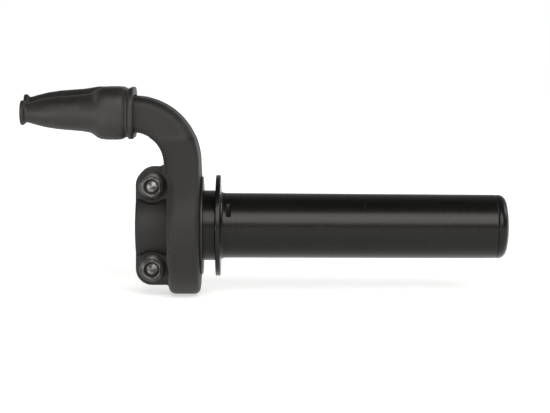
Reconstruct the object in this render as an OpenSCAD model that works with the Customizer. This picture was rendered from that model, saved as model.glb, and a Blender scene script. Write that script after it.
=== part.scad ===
// Twin-cable quick-action throttle for a straight handlebar.
// +X runs along the bar towards the closed end of the twist tube, +Z is up and
// the rider sits on the -Y side. The origin is the centre of the handlebar clamp.

/* [Handlebar and clamp] */
// Diameter of the handlebar
bar_d = 22.2; // [21.6:0.1:26.6]
// Radial clearance of the clamp bore on the bar
clamp_clearance = 0.05; // [0.02:0.01:0.15]
// Width of the clamp along the bar
clamp_w = 14.4; // [13.5:0.1:18]
// Wall of the clamp saddle around the bar
saddle_wall = 4.25; // [3.5:0.05:5.5]
// Distance from the clamp bore's wall to each bolt's axis
bolt_inset = 6.85; // [6.2:0.05:9]
// Depth of each clamp ear, from the bar axis to the bolt seat
ear_depth = 9; // [8:0.5:11]
// Material of the ear beyond the bolt axis
ear_reach = 7.5; // [6.8:0.1:9]
// Gap between the two clamp ears, closed by the bolts
clamp_gap = 1; // [0.6:0.1:1.6]

/* [Bolts and sleeves] */
// Thread diameter of the clamp bolts
bolt_d = 6; // [5:0.5:6]
// Hexagon of the bolt heads across the flats, beyond the thread diameter
bolt_hex_extra = 2; // [1.6:0.1:3]
// Reach of the flange under each bolt head beyond the thread
bolt_flange_reach = 3; // [2.4:0.1:3.4]
// Height of each bolt head with its flange
bolt_head_h = 5; // [4.5:0.1:6]
// Wall between each bolt head's recess and its flats
bolt_dish_wall = 0.75; // [0.5:0.05:1.4]
// Wall of the locating sleeves around the bolts
sleeve_wall = 0.9; // [0.7:0.05:1.1]
// Length of the locating sleeves
sleeve_l = 8; // [6:0.5:10]

/* [Drum housing] */
// Free height between the drum's lug and the housing's rim wall
lug_room = 3; // [1:0.1:4]
// Free width beside the drum, towards the tube
drum_room = 1.45; // [0.5:0.05:4]
// Thickness of the housing's rim wall
rim_wall = 2.8; // [2.4:0.1:3.2]
// Thickness of the housing's side wall next to the clamp
inner_wall = 1.6; // [1.4:0.1:2]
// Thickness of the housing's side wall next to the tube
outer_wall = 1.8; // [1.5:0.1:2]
// Rounding of the housing's rim
rim_round = 2.6; // [1:0.1:3]

/* [Elbow] */
// Bend radius of the elbow at the middle of its section
elbow_r = 21.6; // [21.2:0.1:25.9]
// Material around the adjusters' threads inside the elbow
entry_wall = 0.7; // [0.6:0.1:1.4]
// Distance from each cable to the elbow's outer side
elbow_side = 6.5; // [6.2:0.1:8]
// Wall of the elbow
elbow_wall = 1.6; // [1.4:0.1:1.8]
// Rounding of the elbow's corners
elbow_round = 4; // [2:0.1:5]
// Depth of the bend's centre below the top of the drum housing
elbow_drop = 2.9; // [1.6:0.1:3.4]
// Thread left in the plate when an adjuster is screwed right out
thread_left = 2.3; // [1.8:0.1:3.5]
// Height of the elbow's widening flanks above the bend's centre
taper_h = 12; // [6:0.5:13]
// Height of the web between the elbow and the drum chamber
web_h = 2.3; // [1.8:0.1:3]

/* [Cables] */
// Distance between the two cables, front to back
cable_spacing = 13; // [12.4:0.1:16]
// Height of the front cable above the middle of the elbow
front_rise = 0.3; // [0:0.1:0.6]
// Height of the rear cable above the middle of the elbow
rear_rise = 1.9; // [1:0.1:2.4]
// Diameter of the cable housings that enter the adjusters
cable_d = 5; // [4:0.1:6]
// Diameter of the inner wires
wire_d = 1.4; // [1.2:0.1:1.6]
// Wall of the bent guides
guide_wall = 1; // [0.7:0.05:1.3]

/* [Adjusters] */
// Wall between each adjuster's cable seat and its thread
adjuster_wall = 0.9; // [0.8:0.05:1.1]
// Hexagon of the adjuster heads across the flats, beyond the thread diameter
adjuster_hex_extra = 1; // [0.4:0.1:1.4]
// Length of the adjuster heads
adjuster_head_l = 4; // [3:0.5:5]
// Depth of the seat in each adjuster that takes the cable's end
cable_seat_l = 12; // [8:0.5:14]
// Travel of each adjuster
adjuster_travel = 5; // [3:0.5:8]
// Hexagon of the lock nuts across the flats, beyond the thread diameter
locknut_hex_extra = 3; // [2.4:0.1:3.4]
// Thickness of the lock nuts
locknut_h = 3.5; // [3:0.1:4]
// Travel of each lock nut along its adjuster
locknut_travel = 2; // [1:0.5:3]
// Thread that still shows beside each adjuster's head when its lock nut is backed off
head_gap = 2.5; // [0.5:0.1:4]
// Thickness of the plate that carries the adjusters
plate_t = 4; // [3.5:0.1:4.5]

/* [Twist tube] */
// Radial clearance of the tube on the bar
tube_clearance = 0.25; // [0.1:0.05:0.4]
// Wall of the tube beside its flange
tube_wall = 2.95; // [2:0.05:4]
// How much thinner the tube's wall is at its closed end
tube_draft = 0.3; // [0:0.05:0.5]
// Wall of the seat under the drum
seat_wall = 2.4; // [2:0.05:2.8]
// Length of the tube from its flange to the end cap
tube_l = 121; // [95:1:150]
// Reach of the flange beyond the neck
flange_reach = 6.8; // [3:0.1:12]
// Thickness of the flange
flange_t = 2.1; // [1.5:0.1:3]
// Wall of the neck between the flange and the housing
neck_wall = 4.05; // [3.6:0.05:5]
// Length of the neck between the dust washer and the flange
neck_l = 5.5; // [4:0.1:10]
// Length of the end cap
cap_l = 5.7; // [5:0.1:8]
// Depth of the end cap's plug in the tube
plug_l = 3.5; // [2:0.5:6]

/* [Cable drum] */
// Height of the drum's rim above its bore
drum_wall = 7.2; // [6.8:0.1:9]
// Width of the drum
drum_w = 6.4; // [6:0.1:6.8]
// Distance between the two wire grooves
groove_pitch = 3; // [2.7:0.1:3.2]
// Depth of the wire grooves
groove_depth = 2.6; // [2:0.1:3]
// Diameter of the sockets for the wire ends
nipple_d = 5; // [4:0.1:5.4]
// Turn of the throttle from closed to fully open
throttle_turn = 75; // [55:1:80]
// Angular width of the drum's stop lug
lug_angle = 14; // [10:1:18]
// Height of the stop lug above the drum
lug_h = 3.4; // [2.5:0.1:5]

/* [Washers] */
// Reach of the dust washer beyond the neck
dust_washer_reach = 6.1; // [3:0.1:9]
// Thickness of the dust washer
dust_washer_t = 1; // [0.6:0.1:1.4]
// Thickness of the thrust washer inside the housing
thrust_washer_t = 0.8; // [0.6:0.1:1]
// Running clearance of washers and drum
run_gap = 0.15; // [0.1:0.01:0.2]

/* [Boot] */
// Length of the boot from its mouth to the outlet tips
boot_l = 50; // [46:0.5:56]
// Wall of the boot
boot_wall = 2.2; // [1.6:0.1:2.4]
// Space between the elbow and the inside of the boot
boot_room = 1.3; // [1:0.1:2.5]
// Length of the boot's wide part
boot_body_l = 18; // [16:0.5:20]
// Wall of the outlets behind their rims
outlet_wall = 1.35; // [1:0.05:2]
// Height of the outlet rims
outlet_rim_h = 1.4; // [0.8:0.1:1.8]
// Thickness of the outlet rims
outlet_rim_t = 1.8; // [1:0.1:2.5]
// Clearance of the boot's lip around the elbow
lip_clearance = 0.4; // [0.3:0.05:0.6]

/* [Hidden] */
$fn = 96;
big = 200;
eps = 0.01;
thread_gap = 0.05;
fit_gap = 0.05;
neck_gap = 0.35;
washer_gap = 0.08;

bar_r = bar_d / 2;
clamp_bore_r = bar_r + clamp_clearance;
saddle_r = clamp_bore_r + saddle_wall;
bolt_z = clamp_bore_r + bolt_inset;
bolt_r = bolt_d / 2;
bolt_hex = bolt_d + bolt_hex_extra;
bolt_flange_r = bolt_r + bolt_flange_reach;
bolt_dish_r = bolt_hex / 2 - bolt_dish_wall;
bolt_hole_r = bolt_r + 0.2;
bolt_shank_r = bolt_r - thread_gap;
bolt_l = 2 * ear_depth - 1;
sleeve_bore_r = bolt_r + 0.1;
sleeve_r = sleeve_bore_r + sleeve_wall;
sleeve_end_gap = 0.2;
spotface_r = bolt_flange_r + 1.8;

tube_bore_r = bar_r + tube_clearance;
tube_r = tube_bore_r + tube_wall;
tube_end_r = tube_r - tube_draft;
plug_seat_r = tube_bore_r + 0.5;
plug_r = plug_seat_r - 0.02;
neck_r = tube_bore_r + neck_wall;
neck_hole_r = neck_r + neck_gap;
seat_r = tube_bore_r + seat_wall;
flange_r = neck_r + flange_reach;
drum_bore_r = seat_r + fit_gap;
drum_r = drum_bore_r + drum_wall;

housing_x = clamp_w / 2;
chamber_x = housing_x + inner_wall;
chamber_r = drum_r + lug_h + lug_room;
housing_r = chamber_r + rim_wall;

thrust_x = chamber_x;
tube_x = thrust_x + thrust_washer_t + run_gap;
circlip_t = 1;
circlip_x = tube_x + 0.5;
circlip_groove = 0.8;
drum_x = circlip_x + circlip_t + 0.1;
shoulder_x = drum_x + drum_w;
chamber_end_x = shoulder_x + drum_room;
housing_end_x = chamber_end_x + outer_wall;
housing_w = housing_end_x - housing_x;
dust_washer_x = housing_end_x + 0.1;
flange_x = dust_washer_x + dust_washer_t + neck_l;
tube_out_x = flange_x + flange_t;
cap_x = tube_out_x + tube_l;
plug_x = cap_x - plug_l;

cable_y = cable_spacing / 2;
cable_bore_r = cable_d / 2 + 0.1;
wire_bore_r = wire_d / 2 + 0.4;
guide_r = wire_bore_r + guide_wall;
thread_hole_r = cable_bore_r + adjuster_wall;
thread_r = thread_hole_r - thread_gap;
adjuster_hex = 2 * thread_hole_r + adjuster_hex_extra;
locknut_hex = 2 * thread_hole_r + locknut_hex_extra;

elbow_w = 2 * (rear_rise + thread_hole_r + entry_wall + elbow_wall);
elbow_depth = cable_spacing + 2 * elbow_side;
elbow_out_r = elbow_r + elbow_w / 2;
elbow_in_r = elbow_r - elbow_w / 2;
elbow_x = housing_end_x - 0.2 - elbow_out_r;
elbow_z = housing_r - elbow_drop;
elbow_top_z = elbow_z + elbow_r;
adjuster_root_x = elbow_x - 0.2;
spigot_l = adjuster_travel + thread_left + elbow_x - adjuster_root_x;
mouth_x = elbow_x - spigot_l;
front_z = elbow_top_z + front_rise;
rear_z = elbow_top_z + rear_rise;
guide_foot_z = elbow_z - 1.6;

plate_lip = 0.8;
locknut_x = mouth_x - 0.1;
adjuster_head_x = locknut_x - locknut_h - locknut_travel - head_gap;
adjuster_tip_x = adjuster_head_x - adjuster_head_l;
cable_seat_x = adjuster_tip_x + cable_seat_l;

key_h = 1;
key_w = 4;
notch_angle = 34;
notch_from = 2.4;
notch_w = 2.2;
notch_l = 6.8;
notch_depth = 0.8;
groove_w = wire_d + 0.4;
groove_r = drum_r - groove_depth;
groove_mid_x = drum_x + drum_w / 2;
nipple_r = nipple_d / 2;
nipple_at = drum_bore_r + nipple_r + 1.1;
lug_rest = 270 - throttle_turn / 2;
front_nipple_angle = 198;
rear_nipple_angle = 265;
stop_angle = 10;
stop_play = 0.8;

boot_x = elbow_x + 0.6;
boot_tip_x = boot_x - boot_l;
boot_body_x = boot_x - boot_body_l;
boot_z = elbow_top_z + 0.3;
boot_h = elbow_w + 2 * (boot_room + boot_wall);
boot_depth = elbow_depth + 2 * (boot_room + boot_wall) - 1;
lip_t = 2.4;
boot_round = 9;
cavity_round = 5;
outlet_bore_r = cable_d / 2 + 0.25;
outlet_r = outlet_bore_r + outlet_wall;
outlet_rim_r = outlet_r + outlet_rim_h;
merge_r = boot_h / 2 - 2.2;

// A rectangle centred on the origin with round corners
module rounded(w, h, r) {
    square([w - 2 * r, h], center = true);
    square([w, h - 2 * r], center = true);
    for (x = [-1, 1], y = [-1, 1])
        translate([x * (w / 2 - r), y * (h / 2 - r)]) circle(r);
}

// Stands children on the YZ plane at x and extrudes them l towards +X
module along_x(x, l) {
    translate([x, 0, 0]) rotate([90, 0, 90]) linear_extrude(l) children();
}

// Spins a profile, drawn as [radius, x], about the bar
module about_bar() {
    rotate([90, 0, 90]) rotate_extrude() children();
}

module rod_x(x, l, r, y = 0, z = 0) {
    translate([x, y, z]) rotate([0, 90, 0]) cylinder(h = l, r = r);
}

module rod_y(y, l, r, x = 0, z = 0) {
    translate([x, y, z]) rotate([-90, 0, 0]) cylinder(h = l, r = r);
}

module ring_x(x, l, outer_r, inner_r) {
    difference() {
        rod_x(x, l, outer_r);
        rod_x(x - 1, l + 2, inner_r);
    }
}

// Sweeps a section, drawn as [away from the bend's centre, front to back], round the elbow
module bend() {
    translate([elbow_x, 0, elbow_z]) rotate([90, 0, 0]) rotate_extrude(angle = 90) children();
}

// A wedge about the bar that reaches r, from angle a to a + w, with +Y as zero
module wedge(x, l, a, w, r) {
    along_x(x, l)
        polygon([[0, 0], r * [cos(a), sin(a)], 1.1 * r * [cos(a + w / 2), sin(a + w / 2)],
            r * [cos(a + w), sin(a + w)]]);
}

// ---- Housing ----

// The clamp seen from the rider: straight towards the drum housing, round on the other side
module clamp_outline() {
    top = bolt_z + ear_reach;
    round_r = min(ear_reach - 0.3, clamp_w / 2);
    difference() {
        translate([-clamp_w / 2, -top]) square([clamp_w + 0.5, 2 * top]);
        for (m = [0, 1]) mirror([0, m])
            translate([-clamp_w / 2, top - round_r]) difference() {
                translate([-eps, 0]) square([round_r, round_r + eps]);
                translate([round_r, 0]) circle(round_r);
            }
    }
}

module clamp_solid() {
    rod_x(-clamp_w / 2, clamp_w + 0.5, saddle_r);
    translate([0, ear_depth, 0]) rotate([90, 0, 0]) linear_extrude(2 * ear_depth) clamp_outline();
}

// Fills the corner between the upper ear and the inside of the elbow
module ear_fillet() {
    r = 3.4;
    x = elbow_x + elbow_in_r;
    z = bolt_z + ear_reach;
    translate([0, ear_depth, 0]) rotate([90, 0, 0]) linear_extrude(2 * ear_depth) difference() {
        translate([x - r, z - 0.5]) square([r + 1.6, r + 0.5]);
        translate([x - r, z + r]) circle(r);
    }
}

module drum_shell() {
    about_bar() {
        translate([0, housing_x]) square([housing_r - rim_round, housing_w]);
        translate([0, housing_x + rim_round]) square([housing_r, housing_w - 2 * rim_round]);
        for (x = [housing_x + rim_round, housing_end_x - rim_round])
            translate([housing_r - rim_round, x]) circle(rim_round);
    }
}

// The flanks that widen the elbow from its bend down to the round housing, which they meet smoothly
module shoulders() {
    half = elbow_depth / 2;
    top_z = elbow_z + taper_h;
    far = sqrt(pow(half, 2) + pow(top_z, 2));
    touch = atan2(top_z, half) - acos(housing_r / far);
    foot = housing_r * cos(touch);
    foot_z = housing_r * sin(touch);
    in_x = elbow_x + elbow_in_r;
    intersection() {
        union() {
            bend() translate([elbow_r, 0]) square([elbow_w, 2 * housing_r], center = true);
            translate([in_x, -housing_r, foot_z]) cube([elbow_w, 2 * housing_r, elbow_z - foot_z]);
        }
        along_x(elbow_x, elbow_out_r + 1)
            polygon([[-half, top_z], [half, top_z], [foot, foot_z], [-foot, foot_z]]);
    }
}

module elbow_solid() {
    bend() translate([elbow_r, 0]) rounded(elbow_w, elbow_depth, elbow_round);
    translate([0, 0, elbow_top_z]) along_x(mouth_x, spigot_l)
        rounded(elbow_depth, elbow_w, elbow_round);
    shoulders();
}

// The passage for both guides, from the web above the drum to the mouth
module elbow_hollow() {
    w = elbow_w - 2 * elbow_wall;
    depth = elbow_depth - 2 * elbow_wall;
    r = elbow_round - elbow_wall;
    difference() {
        bend() translate([elbow_r, 0]) rounded(w, depth, r);
        translate([-big / 2, -big / 2, elbow_z + web_h - big]) cube(big);
    }
    translate([0, 0, elbow_top_z]) along_x(mouth_x - 1, spigot_l + 1) rounded(depth, w, r);
}

module drum_chamber() {
    rod_x(chamber_x, chamber_end_x - chamber_x, chamber_r);
    rod_x(chamber_end_x - 1, outer_wall + 2, neck_hole_r);
}

// Ribs that stop the drum's lug at both ends of the throttle's turn
module stop_ribs() {
    reach = (lug_angle + stop_angle) / 2 + stop_play;
    intersection() {
        ring_x(chamber_x - eps, chamber_end_x - chamber_x + 2 * eps, chamber_r + 0.5, drum_r + 0.6);
        for (a = [lug_rest - reach, lug_rest + throttle_turn + reach])
            wedge(chamber_x - eps, chamber_end_x - chamber_x + 2 * eps,
                a - stop_angle / 2, stop_angle, housing_r);
    }
}

// A guide's channel, as a rod that is r thick and runs on past the guide's foot into the chamber
module guide_rod(y, z, r) {
    bend_r = z - elbow_z;
    foot_z = guide_foot_z - 2;
    translate([0, y, 0]) {
        bend() translate([bend_r, 0]) circle(r);
        translate([elbow_x + bend_r, 0, foot_z]) cylinder(h = elbow_z - foot_z, r = r);
    }
}

module plate_solid(gap = 0) {
    w = elbow_w - 2 * elbow_wall + 2 * gap;
    depth = elbow_depth - 2 * elbow_wall + 2 * gap;
    r = elbow_round - elbow_wall + gap;
    translate([0, 0, elbow_top_z]) {
        along_x(mouth_x, plate_t) rounded(depth, w, r);
        along_x(mouth_x + 1 - gap, plate_t - 2 + 2 * gap)
            rounded(depth + 2 * plate_lip, w + 2 * plate_lip, r + plate_lip);
    }
}

module housing_body() {
    difference() {
        union() {
            difference() {
                union() {
                    clamp_solid();
                    ear_fillet();
                    drum_shell();
                    elbow_solid();
                }
                drum_chamber();
                elbow_hollow();
            }
            stop_ribs();
        }
        rod_x(-big / 2, big / 2 + chamber_x + 1, clamp_bore_r);
        plate_solid(fit_gap);
        guide_rod(-cable_y, front_z, guide_r + fit_gap);
        guide_rod(cable_y, rear_z, guide_r + fit_gap);
        translate([-clamp_w / 2 - 1, -clamp_gap / 2, -bolt_z - ear_reach - 1])
            cube([clamp_w + 1, clamp_gap, 2 * (bolt_z + ear_reach) + 1]);
        for (z = [-bolt_z, bolt_z]) {
            rod_y(-sleeve_l / 2 - sleeve_end_gap, sleeve_l + 2 * sleeve_end_gap, sleeve_r + fit_gap, z = z);
            rod_y(-big, big, bolt_hole_r, z = z);
            rod_y(-eps, bolt_l - ear_depth + 0.5, bolt_r, z = z);
            rod_y(-ear_depth - 20, 20, spotface_r, z = z);
        }
    }
}

module half_space(side) {
    translate([-big / 2, side < 0 ? -big : 0, -big / 2]) cube(big);
}

module housing_rider_half() {
    color("#3c3b39") intersection() {
        housing_body();
        half_space(-1);
    }
}

module housing_front_half() {
    color("#3c3b39") intersection() {
        housing_body();
        half_space(1);
    }
}

// ---- Fasteners ----

module clamp_bolt() {
    flange_h = 1.2;
    dish_h = 2.6;
    difference() {
        union() {
            rod_y(-ear_depth, bolt_l, bolt_shank_r);
            rod_y(-ear_depth - flange_h, flange_h, bolt_flange_r);
            translate([0, -ear_depth - flange_h + eps, 0]) rotate([90, 30, 0])
                cylinder(h = bolt_head_h - flange_h, r = bolt_hex / sqrt(3), $fn = 6);
        }
        rod_y(-ear_depth - bolt_head_h - 1, dish_h + 1, bolt_dish_r);
    }
}

module clamp_bolts() {
    color("#2b2b2a") for (z = [-bolt_z, bolt_z]) translate([0, 0, z]) clamp_bolt();
}

module locating_sleeves() {
    color("#8c8f92") for (z = [-bolt_z, bolt_z]) difference() {
        rod_y(-sleeve_l / 2, sleeve_l, sleeve_r, z = z);
        rod_y(-sleeve_l, 2 * sleeve_l, sleeve_bore_r, z = z);
    }
}

// ---- Washers ----

module thrust_washer() {
    color("#e4e2da") ring_x(thrust_x, thrust_washer_t, drum_r - groove_depth + 0.6, tube_bore_r + 0.4);
}

module dust_washer() {
    color("#2c2c2a") ring_x(dust_washer_x, dust_washer_t, neck_r + dust_washer_reach, neck_r + washer_gap);
}

// ---- Twist tube, drum and cap ----

module twist_tube() {
    fillet = 0.8;
    color("#2f2f2c") difference() {
        union() {
            about_bar() {
                polygon([[0, tube_x], [seat_r, tube_x], [seat_r, shoulder_x], [neck_r, shoulder_x],
                    [neck_r, flange_x], [flange_r, flange_x + 0.15], [flange_r, tube_out_x - 0.15],
                    [tube_r + fillet, tube_out_x], [tube_r, tube_out_x + fillet], [tube_end_r, cap_x],
                    [0, cap_x]]);
            }
            for (a = [0, 180]) rotate([a, 0, 0])
                translate([drum_x, -key_w / 2, 0]) cube([drum_w + eps, key_w, seat_r + key_h]);
        }
        rod_x(tube_x - 1, plug_x - tube_x + 1, tube_bore_r);
        rod_x(plug_x, plug_l + 1, plug_seat_r);
        ring_x(circlip_x, circlip_t + 0.1, seat_r + 2, seat_r - circlip_groove);
        rotate([-notch_angle, 0, 0]) translate([tube_out_x + notch_from, -tube_r - 1, -notch_l / 2])
            cube([notch_w, 1 + notch_depth, notch_l]);
    }
}

module cable_drum() {
    color("#d8d5cb") difference() {
        union() {
            rod_x(drum_x, drum_w, drum_r);
            intersection() {
                ring_x(drum_x, drum_w, drum_r + lug_h, drum_r - 1);
                wedge(drum_x, drum_w, lug_rest - lug_angle / 2, lug_angle, drum_r + lug_h + 2);
            }
        }
        rod_x(drum_x - 1, drum_w + 2, drum_bore_r);
        for (a = [0, 180]) rotate([a, 0, 0])
            translate([drum_x - 1, -key_w / 2 - fit_gap, 0])
                cube([drum_w + 2, key_w + 2 * fit_gap, seat_r + key_h + fit_gap]);
        for (side = [-1, 1])
            difference() {
                ring_x(groove_mid_x + side * groove_pitch / 2 - groove_w / 2, groove_w,
                    drum_r + 2 * lug_h, groove_r);
                wedge(drum_x - 1, drum_w + 2, lug_rest - lug_angle / 2 - 1, lug_angle + 2, 2 * drum_r);
            }
        // sockets for the wire ends, one open to each side of the drum
        rotate([front_nipple_angle, 0, 0])
            rod_x(drum_x - 1, 1 + (drum_w - groove_pitch) / 2 + groove_w, nipple_r, y = nipple_at);
        rotate([rear_nipple_angle, 0, 0])
            rod_x(groove_mid_x + groove_pitch / 2 - groove_w, drum_w, nipple_r, y = nipple_at);
    }
}

module drum_circlip() {
    color("#6b6d70") difference() {
        ring_x(circlip_x + 0.05, circlip_t - 0.05, seat_r + 1.3, seat_r - circlip_groove + 0.05);
        wedge(circlip_x - 1, circlip_t + 2, 78, 24, seat_r + 4);
    }
}

// The closed end: a short rim, a rounded corner and a slightly domed face
module tube_end_cap() {
    corner = 3.6;
    dome = 1.2;
    rim_r = tube_end_r + 0.1;
    face_r = rim_r - corner + 0.35;
    dome_r = (face_r * face_r + dome * dome) / (2 * dome);
    color("#2f2f2c") {
        about_bar() {
            translate([0, plug_x]) square([plug_r, plug_l + 1]);
            translate([0, cap_x]) square([rim_r, cap_l - dome - corner]);
            translate([0, cap_x]) square([rim_r - corner, cap_l - dome]);
            intersection() {
                translate([rim_r - corner, cap_x + cap_l - dome - corner]) circle(corner);
                translate([0, cap_x]) square([2 * rim_r, cap_l]);
            }
            intersection() {
                translate([0, cap_x + cap_l - dome_r]) circle(dome_r);
                translate([0, cap_x + 1]) square([face_r - 0.3, cap_l]);
            }
        }
    }
}

// ---- Cable entry ----

module cable_stop_plate() {
    color("#8c8f92") difference() {
        plate_solid();
        rod_x(mouth_x - 1, plate_t + 2, thread_hole_r, -cable_y, front_z);
        rod_x(mouth_x - 1, plate_t + 2, thread_hole_r, cable_y, rear_z);
    }
}

module cable_guide(y, z) {
    bend_r = z - elbow_z;
    color("#e4e2da") translate([0, y, 0]) {
        bend() translate([bend_r, 0]) difference() {
            circle(guide_r);
            circle(wire_bore_r);
        }
        translate([elbow_x + bend_r, 0, guide_foot_z]) linear_extrude(elbow_z - guide_foot_z)
            difference() {
                circle(guide_r);
                circle(wire_bore_r);
            }
    }
}

module front_cable_guide() { cable_guide(-cable_y, front_z); }

module rear_cable_guide() { cable_guide(cable_y, rear_z); }

module hex_x(x, l, flats, y, z) {
    translate([x, y, z]) rotate([0, 90, 0]) rotate([0, 0, 30]) cylinder(h = l, r = flats / sqrt(3), $fn = 6);
}

module adjuster(y, z) {
    color("#a2a4a6") difference() {
        union() {
            rod_x(adjuster_tip_x, adjuster_root_x - adjuster_tip_x, thread_r, y, z);
            hex_x(adjuster_tip_x, adjuster_head_l, adjuster_hex, y, z);
        }
        rod_x(adjuster_tip_x - 1, 1 + cable_seat_x - adjuster_tip_x, cable_bore_r, y, z);
        rod_x(cable_seat_x - 1, adjuster_root_x - cable_seat_x + 2, wire_bore_r, y, z);
    }
}

module front_adjuster() { adjuster(-cable_y, front_z); }

module rear_adjuster() { adjuster(cable_y, rear_z); }

module locknut(y, z) {
    color("#77797c") difference() {
        hex_x(locknut_x - locknut_h, locknut_h, locknut_hex, y, z);
        rod_x(locknut_x - locknut_h - 1, locknut_h + 2, thread_hole_r, y, z);
    }
}

module front_locknut() { locknut(-cable_y, front_z); }

module rear_locknut() { locknut(cable_y, rear_z); }

// ---- Boot ----

module cone_x(x1, x2, r1, r2, y, z) {
    translate([x1, y, z]) rotate([0, 90, 0]) cylinder(h = x2 - x1, r1 = r1, r2 = r2);
}

module cable_boot() {
    cavity_h = boot_h - 2 * boot_wall;
    cavity_depth = boot_depth - 2 * boot_wall;
    outlets = [[-cable_y, front_z], [cable_y, rear_z]];
    color("#33332f") difference() {
        union() {
            translate([0, 0, boot_z]) along_x(boot_body_x, boot_body_l)
                rounded(boot_depth, boot_h, boot_round);
            for (o = outlets) {
                cone_x(boot_tip_x + 1, boot_body_x + 1, outlet_r, merge_r, o[0], o[1]);
                rod_x(boot_tip_x, outlet_rim_t, outlet_rim_r, o[0], o[1]);
            }
        }
        translate([0, 0, boot_z]) along_x(boot_body_x, boot_body_l - lip_t)
            rounded(cavity_depth, cavity_h, cavity_round);
        translate([0, 0, elbow_top_z]) along_x(boot_x - lip_t - 1, lip_t + 2)
            rounded(elbow_depth + 2 * lip_clearance, elbow_w + 2 * lip_clearance,
                elbow_round + lip_clearance);
        for (o = outlets) {
            cone_x(boot_tip_x + 6, boot_body_x + eps, outlet_bore_r, merge_r - boot_wall, o[0], o[1]);
            rod_x(boot_tip_x - 1, 8, outlet_bore_r, o[0], o[1]);
        }
    }
}

housing_rider_half();
housing_front_half();
clamp_bolts();
locating_sleeves();
thrust_washer();
dust_washer();
twist_tube();
cable_drum();
drum_circlip();
tube_end_cap();
cable_stop_plate();
front_cable_guide();
rear_cable_guide();
front_adjuster();
rear_adjuster();
front_locknut();
rear_locknut();
cable_boot();
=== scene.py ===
import bpy, bmesh, math
from mathutils import Matrix, Vector


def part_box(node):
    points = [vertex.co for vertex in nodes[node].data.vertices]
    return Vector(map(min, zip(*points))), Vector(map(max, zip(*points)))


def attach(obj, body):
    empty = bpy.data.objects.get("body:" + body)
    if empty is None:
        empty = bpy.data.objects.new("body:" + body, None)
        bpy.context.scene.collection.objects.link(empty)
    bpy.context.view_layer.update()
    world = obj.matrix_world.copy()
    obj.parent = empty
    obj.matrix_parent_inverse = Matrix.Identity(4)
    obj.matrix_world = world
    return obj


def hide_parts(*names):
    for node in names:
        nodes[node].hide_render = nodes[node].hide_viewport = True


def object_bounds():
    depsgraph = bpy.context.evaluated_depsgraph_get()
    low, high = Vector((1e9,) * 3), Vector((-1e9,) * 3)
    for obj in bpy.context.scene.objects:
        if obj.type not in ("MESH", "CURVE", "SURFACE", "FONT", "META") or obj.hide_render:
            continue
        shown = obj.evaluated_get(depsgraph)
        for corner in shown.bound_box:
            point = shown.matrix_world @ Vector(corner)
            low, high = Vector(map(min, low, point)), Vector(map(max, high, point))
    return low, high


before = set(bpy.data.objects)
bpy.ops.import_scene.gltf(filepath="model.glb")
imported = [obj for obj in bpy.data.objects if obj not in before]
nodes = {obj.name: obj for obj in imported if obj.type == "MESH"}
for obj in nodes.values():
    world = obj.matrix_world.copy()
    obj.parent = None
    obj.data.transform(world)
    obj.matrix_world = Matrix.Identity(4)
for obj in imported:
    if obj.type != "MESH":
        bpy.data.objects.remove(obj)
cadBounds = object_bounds()
scene = bpy.context.scene
scene.view_settings.view_transform = "Standard"
print("frame loaded:", len(nodes), "nodes")


def corners(node):  # a node's low and high corners in millimetres
    low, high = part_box(node)
    return low * 1000, high * 1000


class Wire:  # a shader value that can be written into a sum
    def __init__(self, paint, socket):
        self.paint, self.socket = paint, socket

    def math(self, operation, a, b):
        return self.paint.add("ShaderNodeMath", {"operation": operation}, {0: a, 1: b})

    def __add__(self, other):
        return self.math("ADD", self, other)

    def __sub__(self, other):
        return self.math("SUBTRACT", self, other)

    def __rsub__(self, other):
        return self.math("SUBTRACT", other, self)

    def __mul__(self, other):
        return self.math("MULTIPLY", self, other)

    __radd__ = __add__
    __rmul__ = __mul__


class Paint:  # a material, or the world, and the nodes in it
    def __init__(self, owner, place="Object"):
        self.owner = bpy.data.materials.new(owner) if isinstance(owner, str) else owner
        self.owner.use_nodes = True
        self.tree = self.owner.node_tree
        self.tree.nodes.clear()
        self.place = self.add("ShaderNodeTexCoord", out=place)

    def add(self, kind, settings=None, links=None, out=0):
        node = self.tree.nodes.new(kind)
        for key, value in (settings or {}).items():
            if key == "stops":
                ramp = node.color_ramp
                while len(ramp.elements) < len(value):
                    ramp.elements.new(0.5)
                for element, (position, shade) in zip(ramp.elements, value):
                    element.position, element.color = position, (shade, shade, shade, 1)
            else:
                setattr(node, key, value)
        for key, value in (links or {}).items():
            if isinstance(value, Wire):
                self.tree.links.new(value.socket, node.inputs[key])
            else:
                node.inputs[key].default_value = value
        return Wire(self, node.outputs[out])

    def noise(self, size, detail=4, roughness=0.5, stretch=(1, 1, 1)):  # size in millimetres
        spot = self.add("ShaderNodeVectorMath", {"operation": "MULTIPLY"}, {0: self.place, 1: stretch})
        return self.add("ShaderNodeTexNoise", {}, {"Vector": spot, "Scale": 1000 / size, "Detail": detail,
                                                    "Roughness": roughness})

    def ramp(self, value, stops):
        return self.add("ShaderNodeValToRGB", {"stops": stops}, {0: value})

    def blend(self, amount, first, second):
        return self.add("ShaderNodeMix", {"data_type": "RGBA"}, {0: amount, 6: first, 7: second}, out=2)

    def bump(self, height, strength, depth):  # depth in millimetres
        return self.add("ShaderNodeBump", {}, {"Height": height, "Strength": strength,
                                               "Distance": depth / 1000})

    def close(self, **sockets):
        shader = self.add("ShaderNodeBsdfPrincipled", {}, {key.replace("_", " "): value
                                                            for key, value in sockets.items()})
        self.tree.links.new(shader.socket, self.tree.nodes.new("ShaderNodeOutputMaterial").inputs[0])
        return self.owner


def grey(value, warm=0.0):
    return (value * (1 + warm), value, value * (1 - warm), 1)


def edgeWear(paint, start, end):  # 1 on convex edges, broken up by noise
    point = paint.add("ShaderNodeNewGeometry", out="Pointiness")
    edge = paint.ramp(point, [(start, 0), (end, 1)])
    broken = paint.ramp(paint.noise(2.2, 6, 0.65), [(0.42, 0), (0.62, 1)])
    return edge * broken


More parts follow.
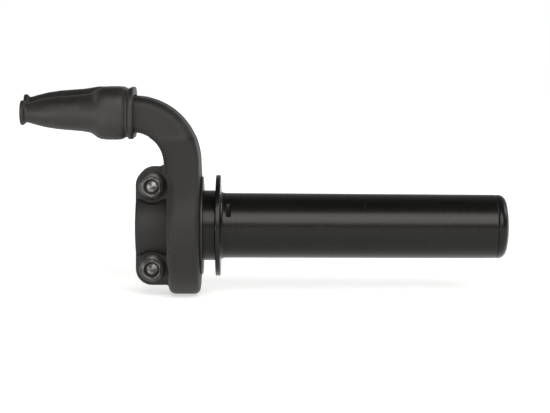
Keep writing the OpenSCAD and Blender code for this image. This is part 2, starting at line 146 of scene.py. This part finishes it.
castLook = {"dark": grey(0.0055, 0.08), "light": grey(0.011, 0.08), "worn": grey(0.07, 0.05),
            "rough": 0.48, "gloss": 0.33, "grain": 0.9, "fine": 0.28}

def castPaint():
    p = Paint("satin_black_cast")
    cloud, grain, fine = p.noise(26, 5, 0.6), p.noise(castLook["grain"], 5, 0.6), p.noise(castLook["fine"], 2)
    speck = p.ramp(p.noise(0.7, 3, 0.7), [(0.66, 0), (0.72, 1)])
    wear = edgeWear(p, 0.54, 0.62)
    colour = p.blend(cloud * 0.6 + grain * 0.4, castLook["dark"], castLook["light"])
    colour = p.blend(speck * 0.25, colour, grey(0.07))
    colour = p.blend(wear * 0.55, colour, castLook["worn"])
    rough = castLook["rough"] + cloud * 0.12 + fine * 0.06 - wear * 0.12
    return p.close(Base_Color=colour, Roughness=rough, Specular_IOR_Level=castLook["gloss"],
                   Normal=p.bump(grain * 0.7 + fine * 0.4, 0.55, 0.05))


tubeLook = {"dark": grey(0.003, 0.03), "light": grey(0.006, 0.03), "scuff": grey(0.02, 0.02), "rough": 0.20,
            "gloss": 0.24}

def tubePlastic():
    p = Paint("moulded_black_plastic")
    cloud, fine = p.noise(18, 4, 0.6), p.noise(0.35, 3, 0.6)
    drag = p.noise(0.9, 5, 0.7, stretch=(0.05, 1, 1))  # faint lines along the bar from the mould
    scuff = p.ramp(p.noise(1.6, 6, 0.7, stretch=(1, 0.25, 0.25)), [(0.63, 0), (0.74, 1)])
    colour = p.blend(cloud * 0.7 + drag * 0.3, tubeLook["dark"], tubeLook["light"])
    colour = p.blend(scuff * 0.35, colour, tubeLook["scuff"])
    rough = tubeLook["rough"] + cloud * 0.08 + drag * 0.06 + scuff * 0.12
    return p.close(Base_Color=colour, Roughness=rough, Specular_IOR_Level=tubeLook["gloss"],
                   Normal=p.bump(drag * 0.5 + fine * 0.5, 0.10, 0.02))


rubberLook = {"dark": grey(0.005, 0.08), "light": grey(0.012, 0.08), "dust": grey(0.05, 0.06), "rough": 0.46,
              "gloss": 0.42}

def bootRubber():
    p = Paint("moulded_rubber")
    cloud, pore, fine = p.noise(14, 5, 0.6), p.noise(0.6, 4, 0.65), p.noise(0.22, 2)
    dust = p.ramp(p.noise(3.5, 7, 0.7), [(0.5, 0), (0.72, 1)])
    hollow = p.ramp(p.add("ShaderNodeNewGeometry", out="Pointiness"), [(0.40, 1), (0.49, 0)])
    colour = p.blend(cloud, rubberLook["dark"], rubberLook["light"])
    colour = p.blend(dust * 0.16 + hollow * 0.25, colour, rubberLook["dust"])
    rough = rubberLook["rough"] + cloud * 0.1 + dust * 0.08
    return p.close(Base_Color=colour, Roughness=rough, Specular_IOR_Level=rubberLook["gloss"],
                   Normal=p.bump(pore * 0.7 + fine * 0.3, 0.5, 0.04))


def blackSteel():
    p = Paint("blackened_steel")
    cloud, fine = p.noise(5, 5, 0.6), p.noise(0.25, 3, 0.6)
    wear = edgeWear(p, 0.51, 0.57)
    colour = p.blend(cloud, grey(0.022), grey(0.07, 0.02))
    colour = p.blend(wear * 0.8, colour, grey(0.42, 0.02))
    return p.close(Base_Color=colour, Metallic=0.6 + wear * 0.35, Roughness=0.24 + cloud * 0.12 + fine * 0.06,
                   Normal=p.bump(fine, 0.3, 0.02))


def platedSteel(name, base, warm, rough, lines):
    p = Paint(name)
    cloud, fine = p.noise(7, 5, 0.6), p.noise(0.3, 3, 0.6)
    turned = p.noise(0.5, 3, 0.6, stretch=lines)
    stain = p.ramp(p.noise(2.5, 6, 0.7), [(0.55, 0), (0.75, 1)])
    colour = p.blend(cloud * 0.5 + turned * 0.5, grey(base * 0.8, warm), grey(base * 1.15, warm))
    colour = p.blend(stain * 0.3, colour, grey(base * 0.45, 0.06))
    return p.close(Base_Color=colour, Metallic=0.92, Roughness=rough + turned * 0.12 + stain * 0.15,
                   Normal=p.bump(turned * 0.6 + fine * 0.4, 0.3, 0.02))


def nylon(name, dark, light, rough):
    p = Paint(name)
    cloud, fine = p.noise(9, 5, 0.6), p.noise(0.4, 4, 0.6)
    rubbed = p.ramp(p.noise(1.4, 6, 0.7), [(0.58, 0), (0.72, 1)])
    colour = p.blend(cloud * 0.7 + fine * 0.3, dark, light)
    return p.close(Base_Color=colour, Roughness=rough + rubbed * 0.15 + fine * 0.05,
                   Normal=p.bump(fine, 0.35, 0.03))


cast, tubeBlack, rubber, boltBlack = castPaint(), tubePlastic(), bootRubber(), blackSteel()
brightSteel = platedSteel("bright_steel", 0.52, 0.01, 0.24, (1, 0.08, 0.08))
nickelSteel = platedSteel("plated_steel", 0.38, 0.03, 0.3, (1, 1, 1))
naturalNylon = nylon("natural_nylon", (0.50, 0.47, 0.39, 1), (0.66, 0.63, 0.55, 1), 0.42)
blackNylon = nylon("black_nylon", grey(0.010), grey(0.020, 0.02), 0.36)
print("materials ready")


def makePiece(name, bm, material, body, replaced, angle=35):
    bmesh.ops.remove_doubles(bm, verts=bm.verts, dist=0.0005)
    bmesh.ops.recalc_face_normals(bm, faces=bm.faces)
    bmesh.ops.scale(bm, vec=(0.001, 0.001, 0.001), verts=bm.verts)
    mesh = bpy.data.meshes.new(name)
    bm.to_mesh(mesh)
    bm.free()
    piece = bpy.data.objects.new(name, mesh)
    scene.collection.objects.link(piece)
    dress(piece, material, body, replaced, angle)
    return piece


def dress(piece, material, body, replaced, angle=35):
    finish(piece, material, angle)
    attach(piece, body)
    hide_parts(*replaced)


def finish(piece, material, angle=35):  # one material, smooth faces, and sharp edges past the angle
    piece.data.materials.clear()
    piece.data.materials.append(material)
    piece.data.polygons.foreach_set("use_smooth", [True] * len(piece.data.polygons))
    piece.data.set_sharp_from_angle(angle=math.radians(angle))


def outline(bm, points, closed=True):  # points are (x, radius) or (x, radius, rounding)
    verts = [bm.verts.new((p[0], 0, p[1])) for p in points]
    ends = list(zip(verts, verts[1:])) + ([(verts[-1], verts[0])] if closed else [])
    for a, b in ends:
        bm.edges.new((a, b))
    for vert, point in zip(verts, points):
        if len(point) > 2:
            bmesh.ops.bevel(bm, geom=[vert], offset=point[2], offset_type="OFFSET", segments=5,
                            profile=0.5, affect="VERTICES", material=-1)
    return list(bm.verts) + list(bm.edges)


def turned(points, steps=160, centre=(0, 0, 0), closed=True):  # a profile spun round an axis along X
    bm = bmesh.new()
    geometry = outline(bm, points, closed)
    bmesh.ops.spin(bm, geom=geometry, cent=(0, 0, 0), axis=(1, 0, 0), angle=2 * math.pi,
                   steps=steps, use_merge=True)
    bmesh.ops.remove_doubles(bm, verts=bm.verts, dist=0.0005)
    bmesh.ops.translate(bm, vec=centre, verts=bm.verts)
    return bm


def joined(*parts):  # several bmeshes in one
    whole = bmesh.new()
    for part in parts:
        keep = bpy.data.meshes.new("part")
        part.to_mesh(keep)
        whole.from_mesh(keep)
        part.free()
        bpy.data.meshes.remove(keep)
    return whole


def loftedBox(stations, corner, segments=12):
    # stations are (x, middle height, height, depth); each end is closed
    x, mid, height, depth = stations[0]
    bm = bmesh.new()
    face = bmesh.ops.create_grid(bm, x_segments=1, y_segments=1, size=0.5)["verts"]
    bmesh.ops.rotate(bm, cent=(0, 0, 0), matrix=Matrix.Rotation(math.pi / 2, 3, "Y"), verts=face)
    bmesh.ops.scale(bm, vec=(1, depth, height), verts=face)
    bmesh.ops.bevel(bm, geom=list(bm.verts), offset=corner, offset_type="OFFSET", segments=segments,
                    profile=0.5, affect="VERTICES", material=-1)
    bmesh.ops.translate(bm, vec=(x, 0, mid), verts=bm.verts)
    last = list(bm.faces)
    for nextX, nextMid, nextHeight, nextDepth in stations[1:]:
        grown = bmesh.ops.extrude_face_region(bm, geom=last)["geom"]
        verts = [g for g in grown if isinstance(g, bmesh.types.BMVert)]
        last = [g for g in grown if isinstance(g, bmesh.types.BMFace)]
        bmesh.ops.scale(bm, vec=(1, nextDepth / depth, nextHeight / height), verts=verts,
                        space=Matrix.Translation((-x, 0, -mid)))
        bmesh.ops.translate(bm, vec=(nextX - x, 0, nextMid - mid), verts=verts)
        x, mid, height, depth = nextX, nextMid, nextHeight, nextDepth
    bmesh.ops.recalc_face_normals(bm, faces=bm.faces)
    return bm


def looseObject(name, bm):  # a helper object that modifiers use, in metres
    bmesh.ops.recalc_face_normals(bm, faces=bm.faces)
    bmesh.ops.scale(bm, vec=(0.001, 0.001, 0.001), verts=bm.verts)
    mesh = bpy.data.meshes.new(name)
    bm.to_mesh(mesh)
    bm.free()
    helper = bpy.data.objects.new(name, mesh)
    scene.collection.objects.link(helper)
    return helper


def applied(item, *steps):  # adds modifiers from (type, settings) pairs and keeps their result
    for kind, settings in steps:
        modifier = item.modifiers.new(kind.lower(), kind)
        for key, value in settings.items():
            setattr(modifier, key, value)
    bpy.context.view_layer.update()
    result = bpy.data.meshes.new_from_object(item.evaluated_get(bpy.context.evaluated_depsgraph_get()))
    item.modifiers.clear()
    item.data = result


def carved(item, cutter, **settings):  # cuts a helper object out and discards it
    applied(item, ("BOOLEAN", {"object": cutter, "operation": "DIFFERENCE", "solver": "EXACT", **settings}))
    bpy.data.objects.remove(cutter)


def relaxed(bm, verts, passes):
    for step in range(passes):
        bmesh.ops.smooth_vert(bm, verts=verts, factor=0.5, use_axis_x=True, use_axis_y=True, use_axis_z=True)


def voxels(size):
    return ("REMESH", {"mode": "VOXEL", "voxel_size": size / 1000})


def smoothing(times):
    return ("SMOOTH", {"factor": 0.5, "iterations": times})


view = {"distance": 0.80, "centre": (0.0535, 0, 0.0084), "width": 0.242, "elevation": 5.5, "yaw": 0.4,
        "roll": 0.3}

def placeCamera():
    camera = bpy.data.objects.new("camera", bpy.data.cameras.new("camera"))
    scene.collection.objects.link(camera)
    camera.data.sensor_width = 36
    camera.data.lens = 36 * view["distance"] / view["width"]
    camera.data.clip_start, camera.data.clip_end = 0.01, 50
    tilt, yaw = math.radians(view["elevation"]), math.radians(view["yaw"])
    back = Vector((-math.sin(yaw) * math.cos(tilt), -math.cos(yaw) * math.cos(tilt), math.sin(tilt)))
    camera.location = Vector(view["centre"]) + back * view["distance"]
    turn = back.to_track_quat("Z", "Y").to_matrix() @ Matrix.Rotation(math.radians(view["roll"]), 3, "Z")
    camera.rotation_euler = turn.to_euler()
    scene.camera = camera


def areaLight(name, place, target, size, power, tint=(1, 1, 1)):
    lamp = bpy.data.lights.new(name, "AREA")
    lamp.shape, lamp.size, lamp.size_y = "RECTANGLE", size[0], size[1]
    lamp.energy, lamp.color = power, tint
    holder = bpy.data.objects.new(name, lamp)
    scene.collection.objects.link(holder)
    holder.location = place
    holder.rotation_euler = (Vector(place) - Vector(target)).to_track_quat("Z", "Y").to_euler()


studio = {
    "floor": 2.4, "middle": 0.05, "drop": 0.0004, "glow": 0.55, "ceiling": 0.07,
    "walls": [(0.0, 1.0), (0.14, 1.0), (0.36, 0.3), (0.88, 0.22), (1.0, 0.0)],
    "behind": [(0.0, 0.25), (0.25, 0.2), (0.45, 0.03), (0.58, 0.05), (0.8, 1.0)],
    "lights": {  # place, target, size, watts, tint
        "key": ((0.30, -1.15, 0.76), (0.06, 0, 0), (1.3, 0.9), 20, (1, 0.96, 0.9)),
        "left": ((-1.5, 0.15, 0.9), (0, 0, 0), (0.8, 0.8), 5),
        "right": ((1.6, 0.35, 0.9), (0.1, 0, 0), (0.8, 0.8), 8),
        "low": ((-0.5, -0.7, -0.02), (-0.03, 0, 0.045), (0.35, 0.12), 3.2, (1, 0.96, 0.9))}}


def setStage():
    bm = bmesh.new()
    bmesh.ops.create_circle(bm, cap_ends=True, cap_tris=False, segments=96, radius=studio["floor"])
    mesh = bpy.data.meshes.new("floor")
    bm.to_mesh(mesh)
    bm.free()
    floor = bpy.data.objects.new("floor", mesh)
    scene.collection.objects.link(floor)
    floor.location = (studio["middle"], 0, cadBounds[0][2] - studio["drop"])
    p = Paint("pale_floor")  # shines a little more away from the object, where the lamps don't reach
    reach = p.add("ShaderNodeVectorMath", {"operation": "LENGTH"}, {0: p.place}, out="Value")
    far = p.ramp(reach, [(0.25, 0), (0.8, 1)])
    mesh.materials.append(p.close(Base_Color=p.blend(p.noise(400, 2), grey(0.86), grey(0.9)), Roughness=0.7,
                                  Emission_Color=p.blend(far, grey(studio["glow"]), grey(1.0)),
                                  Emission_Strength=1.0))
    scene.world = bpy.data.worlds.new("studio")
    p = Paint(scene.world, "Generated")  # a pale wall behind, dimmer walls in front, a dark ceiling
    split = p.add("ShaderNodeSeparateXYZ", {}, {0: p.place}).socket.node.outputs
    height, back = Wire(p, split["Z"]), Wire(p, split["Y"])
    behind = p.ramp(back * 0.5 + 0.5, studio["behind"])
    room = p.blend(p.ramp(height, studio["walls"]), grey(studio["ceiling"]), behind)
    seen = p.add("ShaderNodeLightPath", out="Is Camera Ray")  # the empty background is plain white
    sky = p.add("ShaderNodeBackground", {}, {0: p.blend(seen, room, grey(1.0))})
    p.tree.links.new(sky.socket, p.tree.nodes.new("ShaderNodeOutputWorld").inputs[0])
    for name, settings in studio["lights"].items():
        areaLight(name, *settings)


placeCamera()
setStage()
print("stage ready")


housing = {
    "voxel": 0.42, "soften": 3,
    "blendLow": 8, "blendHigh": 46, "blendIn": 11.8, "blendX": -6, "blendRadius": 29.4, "blendPasses": 60,
    "edges": ((6.6, 9.6, -40, 24, 27, 14),  # x from and to, z from and to, radius, passes: the round housing
              (-8, -5.2, -12, 12, 13, 14))}  # and the clamp's saddle

def castHalf(node, name):
    half = nodes[node].copy()
    half.data = nodes[node].data.copy()
    half.name = name
    half.parent = None
    for key in list(half.keys()):
        del half[key]
    scene.collection.objects.link(half)
    bm = bmesh.new()
    bm.from_mesh(half.data)
    bmesh.ops.remove_doubles(bm, verts=bm.verts, dist=0.000002)
    bm.to_mesh(half.data)
    bm.free()
    applied(half, voxels(housing["voxel"]), smoothing(housing["soften"]))
    bm = bmesh.new()
    bm.from_mesh(half.data)
    side = -1 if "rider" in node else 1
    low, high, inside, start, radius = (housing[key] / 1000 for key in
                                        ("blendLow", "blendHigh", "blendIn", "blendX", "blendRadius"))
    flank = [v for v in bm.verts if v.co.y * side > inside and v.co.x > start and low < v.co.z < high
             and v.co.y ** 2 + v.co.z ** 2 > radius ** 2]
    relaxed(bm, flank, housing["blendPasses"])  # runs the elbow's flanks softly into the round housing
    for x0, x1, bottom, top, inner, passes in housing["edges"]:
        edge = [v for v in bm.verts if x0 < v.co.x * 1000 < x1 and bottom < v.co.z * 1000 < top
                and math.hypot(v.co.y, v.co.z) * 1000 > inner]
        relaxed(bm, edge, passes)
    bm.to_mesh(half.data)
    bm.free()
    dress(half, cast, "housing", [node], angle=50)


castHalf("housing_rider_half", "housing_rider_cast")
castHalf("housing_front_half", "housing_front_cast")
print("housing ready")


tube = {"bore": 11.35, "seat": 13.75, "groove": 12.95, "neck": 15.4, "flange": 22.2, "flangeX": (27.6, 29.7),
        "outer": 14.29, "draft": 0.07, "end": 14.0, "plug": 11.85, "plugDepth": 3.5, "steps": 200}
notch = {"size": (2.2, 2.4, 6.8), "rounding": 0.45, "x": 33.2, "reach": 14.7, "angle": -34}

def twistTube():
    low, high = corners("twist_tube")
    x, seat, groove, neck, outer = low.x, tube["seat"], tube["groove"], tube["neck"], tube["outer"]
    near, far = tube["flangeX"]
    long = [(at, outer - i * tube["draft"]) for i, at in enumerate((32, 60, 90, 120))]
    part = turned([
        (x, tube["bore"], 0.3), (x, seat, 0.25), (x + 0.5, seat), (x + 0.5, groove), (x + 1.6, groove),
        (x + 1.6, seat), (17.75, seat), (17.75, neck), (near - 0.4, neck), (near, neck + 0.3, 0.2),
        (near, tube["flange"], 0.35), (far, tube["flange"], 0.45), (far, neck + 0.8), (far + 0.15, 15.2, 0.3),
        (far + 0.9, 14.5, 0.3)] + long + [
        (high.x - 0.35, tube["end"]), (high.x, tube["end"] - 0.25), (high.x, tube["plug"]),
        (high.x - tube["plugDepth"], tube["plug"]), (high.x - tube["plugDepth"], tube["bore"])],
        tube["steps"])
    moulding = makePiece("tube_moulding", part, tubeBlack, "throttle", ["twist_tube"])
    cutter = bmesh.new()
    bmesh.ops.create_cube(cutter, size=1)
    bmesh.ops.scale(cutter, vec=notch["size"], verts=cutter.verts)
    bmesh.ops.bevel(cutter, geom=list(cutter.edges), offset=notch["rounding"], offset_type="OFFSET",
                    segments=4, profile=0.5, affect="EDGES", material=-1)
    bmesh.ops.translate(cutter, vec=(notch["x"], -notch["reach"], 0), verts=cutter.verts)
    bmesh.ops.rotate(cutter, cent=(0, 0, 0), matrix=Matrix.Rotation(math.radians(notch["angle"]), 3, "X"),
                     verts=cutter.verts)
    carved(moulding, looseObject("notch", cutter))
    finish(moulding, tubeBlack)


cap = {"plug": 11.8, "skirt": 5.7, "outer": 14.02, "face": 10.2, "crown": 1.2, "steps": 160}

def endCap():
    low, high = corners("tube_end_cap")
    seam, outer = high.x - cap["skirt"], cap["outer"]
    dome = [(high.x - cap["crown"] * (r / cap["face"]) ** 2, r) for r in (cap["face"], 8.5, 6.5, 4.5, 2.5, 1)]
    part = turned([
        (low.x, 0.001), (low.x, cap["plug"], 0.3), (seam, cap["plug"]), (seam, outer - 0.27),
        (seam + 0.35, outer), (seam + 1.0, outer - 0.02), (seam + 2.0, outer - 0.17),
        (seam + 3.0, outer - 0.72), (seam + 3.8, outer - 1.57), (seam + 4.3, outer - 2.72)] +
        dome + [(high.x, 0.001)], cap["steps"], closed=False)
    makePiece("cap_moulding", part, tubeBlack, "throttle", ["tube_end_cap"], 60)


washer = {"hole": 15.48, "rim": 21.5, "edge": 0.28}

def dustWasher():
    low, high = corners("dust_washer")
    part = turned([(x, r, washer["edge"]) for x, r in ((low.x, washer["hole"]), (low.x, washer["rim"]),
                                                      (high.x, washer["rim"]), (high.x, washer["hole"]))])
    makePiece("dust_ring", part, blackNylon, "washer", ["dust_washer"])


twistTube()
endCap()
dustWasher()
print("tube ready")


bolt = {"flats": 8.0, "flange": 6.0, "seat": -9.0, "top": -14.0, "shank": 2.95, "dish": 3.25, "floor": -11.4}

def hexPrism(flats, x0, x1, chamfer, angle=0):  # a hexagon rod along X with its corners turned off
    bm = bmesh.new()
    bmesh.ops.create_cone(bm, cap_ends=True, cap_tris=False, segments=6, radius1=flats / math.sqrt(3),
                          radius2=flats / math.sqrt(3), depth=x1 - x0)
    bmesh.ops.rotate(bm, cent=(0, 0, 0), matrix=Matrix.Rotation(math.radians(angle), 3, "Z"), verts=bm.verts)
    bmesh.ops.rotate(bm, cent=(0, 0, 0), matrix=Matrix.Rotation(math.pi / 2, 3, "Y"), verts=bm.verts)
    bmesh.ops.translate(bm, vec=((x0 + x1) / 2, 0, 0), verts=bm.verts)
    rims = [e for e in bm.edges if abs(e.verts[0].co.x - e.verts[1].co.x) < 0.01]
    posts = [e for e in bm.edges if e not in rims]
    bmesh.ops.bevel(bm, geom=posts, offset=0.25, offset_type="OFFSET", segments=2, profile=0.5,
                    affect="EDGES", material=-1)
    rims = [e for e in bm.edges if abs(e.verts[0].co.x - e.verts[1].co.x) < 0.01]
    bmesh.ops.bevel(bm, geom=rims, offset=chamfer, offset_type="OFFSET", segments=3, profile=0.5,
                    affect="EDGES", material=-1)
    return bm


def clampBolts():
    low, high = corners("clamp_bolts")
    reach = (high.z - low.z) / 2 - bolt["flange"]
    length = high.y - bolt["seat"]
    heads = []
    for z in (-reach, reach):  # built along X, then turned to face the rider
        head = hexPrism(bolt["flats"], 0.6, bolt["seat"] - bolt["top"], 0.4, 30)
        flange = turned([(0, 0.001), (0, bolt["flange"], 0.2), (0.75, bolt["flange"], 0.25), (1.5, 4.6, 0.3),
                         (1.7, 0.001)], 72, closed=False)
        shank = turned([(-length, 0.001), (-length, bolt["shank"] - 0.45), (-length + 0.6, bolt["shank"]),
                        (0.2, bolt["shank"]), (0.2, 0.001)], 48, closed=False)
        body = joined(head, flange, shank)
        bmesh.ops.rotate(body, cent=(0, 0, 0), matrix=Matrix.Rotation(-math.pi / 2, 3, "Z"), verts=body.verts)
        bmesh.ops.translate(body, vec=(0, bolt["seat"], z), verts=body.verts)
        heads.append(body)
    bolts = makePiece("bolt_pair", joined(*heads), boltBlack, "housing", ["clamp_bolts"], 40)
    dishes = []
    for z in (-reach, reach):
        dish = turned([(0, 0.001), (0, bolt["dish"] - 0.7, 0.5), (2.2, bolt["dish"]),
                       (2.8, bolt["dish"] + 0.35), (3.2, bolt["dish"] + 0.6), (3.2, 0.001)], 64, closed=False)
        bmesh.ops.rotate(dish, cent=(0, 0, 0), matrix=Matrix.Rotation(-math.pi / 2, 3, "Z"), verts=dish.verts)
        bmesh.ops.translate(dish, vec=(0, bolt["floor"], z), verts=dish.verts)
        dishes.append(dish)
    carved(bolts, looseObject("dishes", joined(*dishes)), use_self=True)
    finish(bolts, boltBlack, 40)


clampBolts()
print("bolts ready")


thread = {"pitch": 1.0, "crest": 3.45, "root": 3.0}

def threadedRod(x0, x1):  # a true helix: a toothed line spun once, one pitch along
    bm = bmesh.new()
    teeth = int((x1 - x0) / thread["pitch"]) + 3
    points = []
    for i in range(teeth):
        at = x0 - 1.5 * thread["pitch"] + i * thread["pitch"]
        points += [(at, thread["root"]), (at + 0.12, thread["root"]), (at + 0.48, thread["crest"]),
                   (at + 0.62, thread["crest"])]
    steps = 48
    bmesh.ops.spin(bm, geom=outline(bm, points, closed=False), cent=(0, 0, 0), axis=(1, 0, 0),
                   dvec=(thread["pitch"] / steps, 0, 0), angle=2 * math.pi, steps=steps)
    bmesh.ops.remove_doubles(bm, verts=bm.verts, dist=0.002)
    for at, side in ((x0, -1), (x1, 1)):
        cut = bmesh.ops.bisect_plane(bm, geom=list(bm.verts) + list(bm.edges) + list(bm.faces), dist=0.0001,
                                     plane_co=(at, 0, 0), plane_no=(side, 0, 0), clear_outer=True)
        rim = [g for g in cut["geom_cut"] if isinstance(g, bmesh.types.BMEdge)]
        bmesh.ops.holes_fill(bm, edges=rim, sides=0)
    return bm


def bored(piece, profile, material, place):  # drills a turned profile out of a piece
    carved(piece, looseObject("drill", turned(profile, 48, place, closed=False)), use_self=True)
    finish(piece, material, 40)


screw = {"flats": 8.0, "head": 4.0, "chamfer": 0.45, "socket": 2.6, "socketDepth": 12, "wire": 1.1}
nut = {"flats": 10.0, "chamfer": 0.5, "hole": 3.5}

def adjuster(node, name, body):
    low, high = corners(node)
    mid = (low + high) / 2
    socket, wire, floor = screw["socket"], screw["wire"], low.x + screw["socketDepth"]
    head = hexPrism(screw["flats"], low.x, low.x + screw["head"], screw["chamfer"], 30)
    part = joined(head, threadedRod(low.x + screw["head"] - 0.4, high.x))
    bmesh.ops.translate(part, vec=(0, mid.y, mid.z), verts=part.verts)
    piece = makePiece(name, part, brightSteel, body, [node], 40)
    bored(piece, [(low.x - 1, 0.001), (low.x - 1, socket + 0.4), (low.x + 0.4, socket), (floor, socket),
                  (floor, wire), (high.x + 1, wire), (high.x + 1, 0.001)], brightSteel, (0, mid.y, mid.z))


def lockNut(node, name, body):
    low, high = corners(node)
    mid, hole = (low + high) / 2, nut["hole"]
    part = hexPrism(nut["flats"], low.x, high.x, nut["chamfer"], 30)
    bmesh.ops.translate(part, vec=(0, mid.y, mid.z), verts=part.verts)
    piece = makePiece(name, part, nickelSteel, body, [node], 40)
    bored(piece, [(low.x - 1, 0.001), (low.x - 1, hole + 1.5), (low.x + 0.5, hole), (high.x - 0.5, hole),
                  (high.x + 1, hole + 1.5), (high.x + 1, 0.001)], nickelSteel, (0, mid.y, mid.z))


for side in ("front", "rear"):
    adjuster(side + "_adjuster", side + "_adjuster_screw", "adjuster_" + side)
    lockNut(side + "_locknut", side + "_lock_nut", "locknut_" + side)
print("adjusters ready")


boot = {
    "corner": 6.0, "tip": -57.2, "height": 49.3, "outlets": ((-6.5, 49.4), (6.5, 51.6)),  # y and z of each
    # the body's sections from back to mouth: distance from the mouth, height, depth
    "body": ((20.5, 15.4, 24.4), (18.6, 17.2, 26.0), (17.0, 19.2, 28.4), (15.6, 21.2, 30.8),
             (14.0, 22.3, 32.2), (11.5, 22.8, 32.6), (7.0, 22.8, 32.6), (5.2, 22.5, 32.4),
             (4.1, 21.6, 31.4), (3.4, 20.4, 30.2), (3.0, 19.9, 29.7), (2.6, 20.8, 30.4),
             (2.3, 22.3, 32.0), (0.5, 22.4, 32.1), (0.1, 22.0, 31.6), (0, 21.4, 31)),
    "rim": 5.5, "outlet": ((2.0, 4.15, 0.25), (3.4, 4.3), (5.5, 4.95), (8.2, 5.65), (10.8, 6.3), (16.1, 7.1),
                           (21.4, 7.55), (26.7, 7.95), (30, 8.5), (33, 9.0), (36, 9.0), (36, 0.001)),
    "mouth": (16.2, 26.8), "mouthHeight": 48.9, "cavity": (17.6, 27.4), "voxel": 0.42,
    "hole": ((-2, 0.001), (-2, 2.75), (6, 2.75), (31, 6.4), (34, 6.4), (34, 0.001))}

def bootShape():
    end, tip, mid, size = corners("cable_boot")[1].x, boot["tip"], boot["height"], boot["voxel"]
    rim = [(tip, 0.001), (tip, boot["rim"], 0.45), (tip + 1.75, boot["rim"], 0.45)]
    shells = [loftedBox([(end - back, mid, height, depth) for back, height, depth in boot["body"]],
                        boot["corner"])]
    shells += [turned(rim + [(tip + p[0],) + p[1:] for p in boot["outlet"]], 96, (0, y, z), closed=False)
               for y, z in boot["outlets"]]
    outer = looseObject("boot_moulding", joined(*shells))
    applied(outer, voxels(size), smoothing(3))
    mouth, cavity = boot["mouth"], boot["cavity"]
    inner = [loftedBox([(x, boot["mouthHeight"], *mouth) for x in (end + 2, end - 4.2)], 4.4),
             loftedBox([(end - 3.9, mid, *mouth), (end - 5.2, mid, *cavity), (end - 13.5, mid, *cavity),
                        (end - 18, mid, 13, 22), (end - 20, mid, 11, 20)], 5.5)]
    inner += [turned([(tip + x, r) for x, r in boot["hole"]], 64, (0, y, z), closed=False)
              for y, z in boot["outlets"]]
    hollow = looseObject("boot_hollow", joined(*inner))
    applied(hollow, voxels(size))
    carved(outer, hollow)
    applied(outer, voxels(size), smoothing(2))
    dress(outer, rubber, "boot", ["cable_boot"], 60)


bootShape()
print("boot ready")


finishes = {"cable_stop_plate": nickelSteel, "locating_sleeves": nickelSteel, "drum_circlip": brightSteel,
            "thrust_washer": naturalNylon, "cable_drum": naturalNylon, "front_cable_guide": naturalNylon,
            "rear_cable_guide": naturalNylon, "housing_rider_half": cast, "housing_front_half": cast,
            "clamp_bolts": boltBlack, "twist_tube": tubeBlack, "tube_end_cap": tubeBlack,
            "dust_washer": blackNylon, "front_adjuster": brightSteel, "rear_adjuster": brightSteel,
            "front_locknut": nickelSteel, "rear_locknut": nickelSteel, "cable_boot": rubber}
for node, material in finishes.items():
    for slot in nodes[node].material_slots:
        slot.material = material
